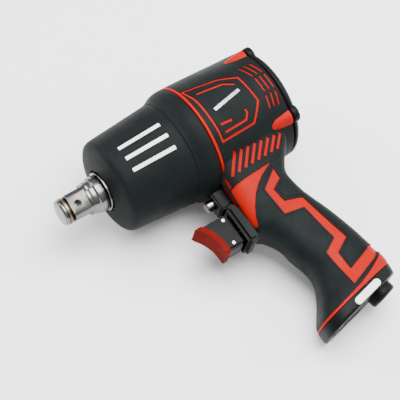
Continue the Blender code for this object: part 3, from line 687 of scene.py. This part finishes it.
# %% Bands and slabs that follow the skin
def dense_pair(left, right, pitch):
    """Both edges of a band with the same number of extra points on each stretch."""
    a_made, b_made = [left[0]], [right[0]]
    for a, a2, b, b2 in zip(left, left[1:], right, right[1:]):
        count = max(1, math.ceil(max((a2 - a).length, (b2 - b).length) / pitch))
        a_made += [a.lerp(a2, k / count) for k in range(1, count + 1)]
        b_made += [b.lerp(b2, k / count) for k in range(1, count + 1)]
    return list(zip(a_made, b_made))


def band(points, width, pitch=2.5, closed=False):
    """Left and right points of a band of even width along a polyline, mitred at its corners."""
    line = [Vector(p) for p in points]
    count, left, right = len(line), [], []
    for i, p in enumerate(line):
        before = (p - line[i - 1]).normalized() if i or closed else (line[1] - p).normalized()
        after = (line[(i + 1) % count] - p).normalized() if i < count - 1 or closed else before
        across = Vector((-(before + after).y, (before + after).x)).normalized()
        reach = width / 2 / max(0.4, across.dot(Vector((-before.y, before.x))))
        left.append(p - across * reach)
        right.append(p + across * reach)
    if closed:
        return dense_pair(left + left[:1], right + right[:1], pitch)[:-1]
    return dense_pair(left, right, pitch)


def slab(pairs, project, side, depth, flare=0.22, proud=0.5, closed=False, name="slab", material=None):
    """A closed slab over the skin between pairs of edge points, its top wider by the flare all round."""
    rows, columns = len(pairs), max(2, math.ceil(max((b - a).length for a, b in pairs) / 2.5) + 1)
    levels = ((-depth, 0.0), (-flare, 0.0), (proud, flare + proud)) if flare else ((-depth, 0.0), (proud, 0.0))
    points, faces = [], []
    for rise, grow in levels:
        for r, (a, b) in enumerate(pairs):
            way = (b - a).normalized() * grow
            run = Vector((0, 0))
            if grow and not closed and r in (0, rows - 1):
                beside = pairs[1 if r == 0 else rows - 2]
                run = ((a + b) / 2 - (beside[0] + beside[1]) / 2).normalized() * grow
            for c in range(columns):
                t = c / (columns - 1)
                place = a.lerp(b, t) + way * (2 * t - 1) + run
                spot, normal = project(place.x, place.y, side)
                points.append(spot + normal * rise * MM)
    top = len(levels) - 1

    def at(k, r, c):
        return (k * rows + r % rows) * columns + c

    for r in range(rows if closed else rows - 1):
        for c in range(columns - 1):
            for k in (0, top):
                faces.append([at(k, r, c), at(k, r, c + 1), at(k, r + 1, c + 1), at(k, r + 1, c)])
    if closed:
        loops = [[(r, c) for r in range(rows)] for c in (0, columns - 1)]
    else:
        loops = [[(0, c) for c in range(columns)] + [(r, columns - 1) for r in range(1, rows)]
                 + [(rows - 1, c) for c in range(columns - 2, -1, -1)] + [(r, 0) for r in range(rows - 2, 0, -1)]]
    for loop in loops:
        for (r, c), (r2, c2) in zip(loop, loop[1:] + loop[:1]):
            faces += [[at(k, r, c), at(k + 1, r, c), at(k + 1, r2, c2), at(k, r2, c2)] for k in range(top)]
    flat = [(p.dot(DOWN) / MM, p.dot(REAR) / MM, p.dot(LEFT) / MM) for p in points]
    return piece_of(name, flat, faces, material or BLACK_PLASTIC)


def joined(objects, name="joined"):
    """One object holding the meshes of several."""
    bm = bmesh.new()
    for obj in objects:
        bm.from_mesh(obj.data)
    mesh = bpy.data.meshes.new(name)
    bm.to_mesh(mesh)
    bm.free()
    for material in objects[0].data.materials:
        mesh.materials.append(material)
    made = bpy.data.objects.new(name, mesh)
    bpy.context.scene.collection.objects.link(made)
    for obj in objects:
        bpy.data.objects.remove(obj, do_unlink=True)
    return made


def prism(outline, low, high, name="prism", material=None):
    """A flat outline of (rear, down) points, given thickness from low to high on the left side."""
    count = len(outline)
    points = [(down, rear, left) for left in (low, high) for rear, down in outline]
    faces = [list(range(count)), list(range(count, 2 * count))]
    faces += [[i, (i + 1) % count, count + (i + 1) % count, count + i] for i in range(count)]
    return piece_of(name, points, faces, material or BLACK_PLASTIC)


# %% [markdown]
# ## What the windows look like
# Round the barrel: an eight-sided line frames a blank panel with three short accents in it, nine
# vents sit behind it in three groups, and eight slanted slots run along the lower side. On the
# handle a red wedge comes down behind the trigger, and a red ribbon zigzags down to the foot and
# wraps round its back. Fine grooves keep a plain border beside the ribbon.

# %% The windows' lines
PANEL = ((111.8, -31), (139, -24.5), (152, -16), (154, 15), (150, 22), (143.5, 32), (115.5, 33), (115.8, 22),
         (114.6, -14))
ACCENTS = (((118.5, -20), (139, -17), (146.5, -10.5)), ((119.5, 18), (129.5, 19)),
           ((120, 26.5), (139, 25.5), (142, 20), (142, 16)))
VENTS = (((158, -25), (162, -9)), ((162.5, -26), (166, -9.5)), ((167, -25), (170, -9.5)),
         ((162, -6.5), (162.5, 10)), ((166, -6.5), (166.3, 10)), ((170, -6.5), (170.2, 11)),
         ((161.5, 14), (159.5, 27)), ((165.7, 13.5), (163.4, 27)), ((169.7, 14), (167.3, 28)))
RIBBON = (((141, 54), (141.8, 61.8)), ((126.5, 64), (132.5, 66.8)), ((129, 85.5), (134.5, 77.5)),
          ((144.4, 88.2), (148.8, 81.2)), ((148.8, 118), (157, 121.8)), ((137.4, 124), (144.5, 128.3)),
          ((138, 153.6), (143.8, 142.8)), ((164, 145), (162.4, 137.2)), ((168.6, 142.3), (167.6, 135.2)))
WEDGE = (((106.2, 51.2), (141.8, 49.4)), ((106.1, 54.2), (131, 54.2)), ((106.0, 58.2), (125, 58.2)),
         ((105.9, 63), (119.6, 63)), ((105.9, 70), (114, 70)), ((106, 77), (110.4, 77)),
         ((106.8, 82.5), (109.2, 82.5)))
WEDGE_LEAD = ((106.9, 42.8), (106.9, 50.6))
SLOTS = 8
CRESCENT = ((90, 166.4), (100, 164.2), (108, 162.6), (120, 160.6), (132, 158), (142, 155.6), (152, 152.3),
            (161, 148.4), (168, 145), (180, 138))
LINE_WIDTH, VENT_WIDTH, SLOT_WIDTH, GROOVE_WIDTH = 1.9, 1.4, 2.4, 0.6
WINDOW_DEPTH, GROOVE_DEPTH = 1.2, 0.32
BORDER = 2.1                            # plain border beside the ribbon


def wrapped(points):
    """Angles round the barrel turned into millimetres of arc."""
    return [(along, angle * ARC_MM) for along, angle in points]


def slot_line(k):
    """The slanted slots, evenly spaced, each leaning forward as it runs down."""
    share = k / (SLOTS - 1)
    top = Vector((121.6 + 39.1 * share, 31.8 + 3 * share))
    end = Vector((111.4 + 40.3 * share, 45 - 1.2 * share))
    return [tuple(top), tuple(end)]


def border_lines():
    for edge, other in ((0, 1), (1, 0)):
        line = []
        for pair in RIBBON[:-1]:
            here, there = Vector(pair[edge]), Vector(pair[other])
            line.append(tuple(here + (here - there).normalized() * BORDER))
        yield line


# %% Cut the grip
def windows(side):
    cuts = [slab(band(wrapped(PANEL), LINE_WIDTH, closed=True), on_barrel, side, WINDOW_DEPTH, closed=True)]
    cuts += [slab(band(wrapped(line), LINE_WIDTH), on_barrel, side, WINDOW_DEPTH) for line in ACCENTS]
    cuts += [slab(band(wrapped(line), VENT_WIDTH), on_barrel, side, WINDOW_DEPTH) for line in VENTS]
    cuts += [slab(band(slot_line(k), SLOT_WIDTH), on_side, side, WINDOW_DEPTH) for k in range(SLOTS)]
    ribbon = [[Vector(p) for p in edge] for edge in zip(*RIBBON)]
    wedge = [[Vector(p) for p in edge] for edge in zip(*WEDGE)]
    cuts += [slab(dense_pair(*ribbon, 2.5), on_side, side, WINDOW_DEPTH)]
    cuts += [slab(dense_pair(*wedge, 2.5), on_side, side, WINDOW_DEPTH)]
    cuts += [slab(band(line, GROOVE_WIDTH), on_side, side, GROOVE_DEPTH, flare=0.1) for line in border_lines()]
    return cuts


window_cutters = joined(windows(1) + windows(-1))
leads = [slab(band(WEDGE_LEAD, 1.3), on_side, side, WINDOW_DEPTH) for side in (1, -1)]
strap = [RIBBON[-1][0][1] - 0.6, RIBBON[-1][1][1] - 0.6]
back_strap = slab(dense_pair([Vector((-16.2, strap[1])), Vector((16.2, strap[1]))],
                             [Vector((-16.2, strap[0])), Vector((16.2, strap[0]))], 2.5), on_back, 1, WINDOW_DEPTH)
low_edge = prism([*CRESCENT, (190, 210), (90, 210)], -40, 40)
front_room = turned("front_room", [(0, 90), (FLARE_R + 0.9, 90), (FLARE_R + 0.9, RING_END + 0.15),
                                   (0, RING_END + 0.15)])
trigger_mouth = block("mouth", (THROTTLE_DOWN - 36, 96, -13.9), (THROTTLE_DOWN + 16.2, 107.1, 13.9))
inside = outer_skin(GRIP_THICK - 0.03, 100, 190, (0, 4))
carve(grip, [trigger_mouth, front_room, inside, low_edge, window_cutters, back_strap, *leads,
             *lug_cutters(0.3, 4)])
grip.name = "black_overmoulded_grip"
grip.data.materials.clear()
grip.data.materials.append(GRIP_RUBBER)
print("grip faces:", len(grip.data.polygons))

# %% The red band at the foot
band_rows = [row for row in HANDLE if row[3] > 140]
foot_band = lofted("foot_band", band_rows, 0.12, RED_COMPOSITE)
above = prism([*[(rear, down + 0.3) for rear, down in CRESCENT], (190, 60), (90, 60)], -40, 40)
exhaust_room = block("exhaust_room", (149, 122.5, -12), (190, 143, 12))
inlet_room = rod(10.65, (INLET_DOWN - 20, INLET_REAR - 20 * math.tan(INLET_LEAN), 0),
                 (INLET_DOWN + 15, INLET_REAR + 15 * math.tan(INLET_LEAN), 0))
carve(foot_band, [above, exhaust_room, inlet_room])
foot_band.name = "red_foot_band"
foot_band.data.materials.clear()
foot_band.data.materials.append(RED_COMPOSITE)
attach(foot_band, "housing")
print("foot band faces:", len(foot_band.data.polygons))

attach(housing, "housing")
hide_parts("motor_housing")
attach(grip, "housing")
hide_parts("barrel_grip", "handle_grip")

# %% [markdown]
# ## The nose boot
# A rubber boot protects the work and the hammer case. It is turned: a rounded nose, a slow taper,
# and a flare that meets the red ring, with a thin moulding seam where the flare begins. Three plain
# pale bars are printed on it.

# %% Boot
SEAM = 91.5
boot_outside = [(15.2, 34.5), (25.0, 36.4), (31.8, 38.4), (34.6, 40.6), (35.2, 43.6)]
boot_outside += [(35.2 + 4.1 * k / 12, 43.6 + 47.4 * k / 12) for k in range(1, 13)]
boot_outside += [(38.9, SEAM), (38.95, SEAM + 0.5), (39.5, SEAM + 0.7), (40.2, 94.5), (42.3, 98.4),
                 (43.5, 101.6), (43.9, 104.5), (44.0, BOOT_END)]
boot_inside = [(41.0, BOOT_END), (41.0, 97.3), (36.9, 91.8), (31.5, 45.4), (29.2, 40.8), (22.3, 38.0),
               (15.2, 36.8)]
boot = turned("nose_boot_rubber", rounded(boot_outside, 1.6, 4) + boot_inside, BOOT_RUBBER, sides=160, sharp=50)
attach(boot, "housing")
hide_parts("nose_boot")
bm = bmesh.new()
bm.from_mesh(boot.data)
BOOT_SKIN = BVHTree.FromBMesh(bm)
bm.free()


# %% Printed bars
def printed(name, lines, width, project, material):
    """Ink on a skin: thin plates that follow it."""
    plates = [slab(band(wrapped(line), width), project, 1, 0.02, flare=0, proud=0.05) for line in lines]
    ink = joined(plates, name)
    ink.data.materials.clear()
    ink.data.materials.append(material)
    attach(ink, "housing")
    return ink


BARS = tuple(((50.0, angle), (84.0, angle)) for angle in (-14, 1, 16))
bars = printed("plain_nose_bars", BARS, 3.2, lambda a, b, side: on_barrel(a, b, side, BOOT_SKIN), WHITE_PRINT)
plate = printed("plain_panel_bar", (((121.5, 3.5), (146.0, -3.0)),), 2.4, on_barrel, SILVER_PRINT)
print("boot faces:", len(boot.data.polygons))

# %% [markdown]
# ## The drive end
# A turned steel bar with four flats milled on it. The corners of the square stay round from the
# lathe, a groove holds a split bronze ring over a rubber one, and the retaining hole goes into one
# flat. Cutting it the way it is machined gives the curved walls where the flats run out.

# %% Anvil
SQUARE, SQUARE_TURN = 19.05, math.radians(17)
anvil_profile = [(0, 0.7), (1.1, 0.0), (8.6, 0), (9.7, 1.1), (9.7, 2.8), (7.4, 2.9), (7.4, 6.5), (11.6, 6.7),
                 (11.6, 22.3), (12.3, 23.5), (12.3, 26.4), (13.4, 27.2), (13.4, 32.6), (11.9, 33.0), (11.9, 51.0),
                 (9.5, 51.6), (9.5, 93.2), (7.7, 93.4), (7.7, 98.0), (0, 98.0)]
anvil = turned("square_drive_anvil", rounded(anvil_profile, 0.45, 3), GROUND_STEEL)
flats = []
for k in range(4):
    low, high = (-9.0, 3.2, SQUARE / 2), (9.0, 20.6, SQUARE / 2 + 6)
    flats.append(block("flat", low, high, FLAT_STEEL, bevel=0.5, turn=SQUARE_TURN + k * math.pi / 2))
facing = Vector((math.sin(SQUARE_TURN), 0, math.cos(SQUARE_TURN)))
hole = rod(2.8, tuple(facing * 1.0 + Vector((0, 12.2, 0))), tuple(facing * 14 + Vector((0, 12.2, 0))))
anvil.data.materials.append(FLAT_STEEL)
for flat in flats:
    flat.data.materials.clear()
    flat.data.materials.append(GROUND_STEEL)
    flat.data.materials.append(FLAT_STEEL)
    flat.data.polygons.foreach_set("material_index", [1] * len(flat.data.polygons))
carve(anvil, [*flats, hole])
jaws = [block("front_jaw", (-14.2, 57.5, -4.0), (2, 72, 4.0)),
        block("rear_jaw", (-2, 77.5, -4.0), (14.2, 92, 4.0))]
carve(anvil, jaws, "UNION")
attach(anvil, "anvil")
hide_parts("anvil")
nose = turned("steel_nose_ring", rounded([(12.3, 33.4), (14.7, 33.4), (14.7, 36.5), (12.3, 36.5)], 0.35),
              GROUND_STEEL)
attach(nose, "housing")
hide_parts("nose_ring")
print("anvil faces:", len(anvil.data.polygons))

# %% [markdown]
# ## Rear cover
# The cover closes the motor behind. Its face is dished a little, with a ring groove and short ribs
# that let the hand feel the back of the tool, and four ears carry the screws.

# %% Cover
start = BARREL_END + 1.5
rim_r = BARREL_END_R - 0.2
cover_profile = [(0, start + 2.6), (30.0, start + 2.6), (30.0, start), (rim_r, start), (rim_r, start + 2.6),
                 (39.2, OVERALL), (30.5, OVERALL), (30.0, OVERALL - 0.6), (28.8, OVERALL - 0.6), (28.3, OVERALL),
                 (0, OVERALL)]
cover = turned("rear_cover_moulding", rounded(cover_profile, 1.3, 4), BLACK_PLASTIC, sides=128)
carve(cover, [turned("ear", rounded([(0, start), (6.7, start), (6.7, OVERALL - 0.3), (0, OVERALL - 0.3)], 1.2),
                     at=(down, 0, left), sides=40) for down, left in screw_places()], "UNION")
sinks = [rod(4.7, (down, start + 2.0, left), (down, 190, left)) for down, left in screw_places()]
sinks += [rod(2.4, (down, 160, left), (down, 190, left), 24) for down, left in screw_places()]
ribs = [block("rib", (-0.6, OVERALL - 0.7, 8), (0.6, OVERALL + 2, 24), bevel=0.25, turn=math.tau * k / 12)
        for k in range(12)]
carve(cover, sinks + ribs)
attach(cover, "housing")
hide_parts("rear_cover")
print("cover faces:", len(cover.data.polygons))

# %% [markdown]
# ## Foot, air inlet and label
# The foot cap is the last stretch of the handle's loft with its lower edge rolled under. Slots let
# the exhaust out, and the inlet bushing stands behind them with its thread open below. The pill on
# its side is a blank label.

# %% Foot cap
foot = lofted("foot_cap_moulding", smooth_rows(FOOT_ROWS, 3), 0.0, BLACK_PLASTIC)
lean_way = Vector((math.cos(INLET_LEAN), math.sin(INLET_LEAN), 0))
mouth = Vector((INLET_DOWN, INLET_REAR, 0))
foot_cuts = [rod(10.7, mouth - lean_way * 30, mouth + lean_way * 20, 64)]
foot_cuts += [block("slot", (150, 121 + 6 * k, -13), (190, 124.5 + 6 * k, 13), bevel=0.8) for k in range(4)]
for rear, left in ((114.5, 0.0), (147.2, 15.2)):
    down = 169.9 - (rear - 107.4) * math.tan(FOOT_TILT)
    foot_cuts += [rod(2.3, (down - 20, rear, left), (down + 20, rear, left), 24),
                  rod(4.3, (down, rear, left), (down + 20, rear, left))]
carve(foot, foot_cuts)
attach(foot, "housing")
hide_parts("foot_cap")

# %% Inlet bushing and label
inlet = turned("inlet_bushing", rounded([(7.2, -18), (10.2, -18), (10.2, 8.2), (9.4, 9.6), (7.2, 9.6)], 0.5),
               BLACK_PLASTIC, mouth, lean_way, 64)
threads = [turned("thread", [(7.0, -4 + 1.4 * k), (7.75, -3.4 + 1.4 * k), (7.0, -2.8 + 1.4 * k)], at=mouth,
                  axis=lean_way, sides=48) for k in range(9)]
carve(inlet, threads)
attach(inlet, "housing")
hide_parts("air_inlet_bushing")


def pill(length, width, count=14):
    """The outline of a plate with round ends."""
    ends = []
    for middle, start_angle in ((length / 2 - width / 2, -90), (-length / 2 + width / 2, 90)):
        for k in range(count + 1):
            angle = math.radians(start_angle + 180 * k / count)
            ends.append(Vector((middle + width / 2 * math.cos(angle), width / 2 * math.sin(angle))))
    return ends


turn = Matrix.Rotation(-FOOT_TILT, 2)
centre = Vector((142.0, 163.3))
outline = [centre + turn @ p for p in pill(24.6, 5.4)]
label = prism([tuple(p) for p in outline], 22.3, 23.4, "blank_pill_label", WHITE_LABEL)
soften = label.modifiers.new("edge", "BEVEL")
soften.width, soften.segments, soften.limit_method = 0.2 * MM, 2, "ANGLE"
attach(label, "housing")
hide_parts("label_plate")

# %% Floor
lowest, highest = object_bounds()
floor_mesh = bpy.data.meshes.new("floor")
reach = 3.0
corners = ((-reach, -reach), (reach, -reach), (reach, reach), (-reach, reach))
floor_mesh.from_pydata([(x, y, lowest[2] - 0.0002) for x, y in corners], [], [(0, 1, 2, 3)])
floor = bpy.data.objects.new("floor", floor_mesh)
bpy.context.scene.collection.objects.link(floor)
floor_mesh.materials.append(finish("pale_floor", (0.93, 0.93, 0.93), (0.94, 0.94, 0.94), 0.8, 0.75,
                                   grain=0.02, specular=0.2))
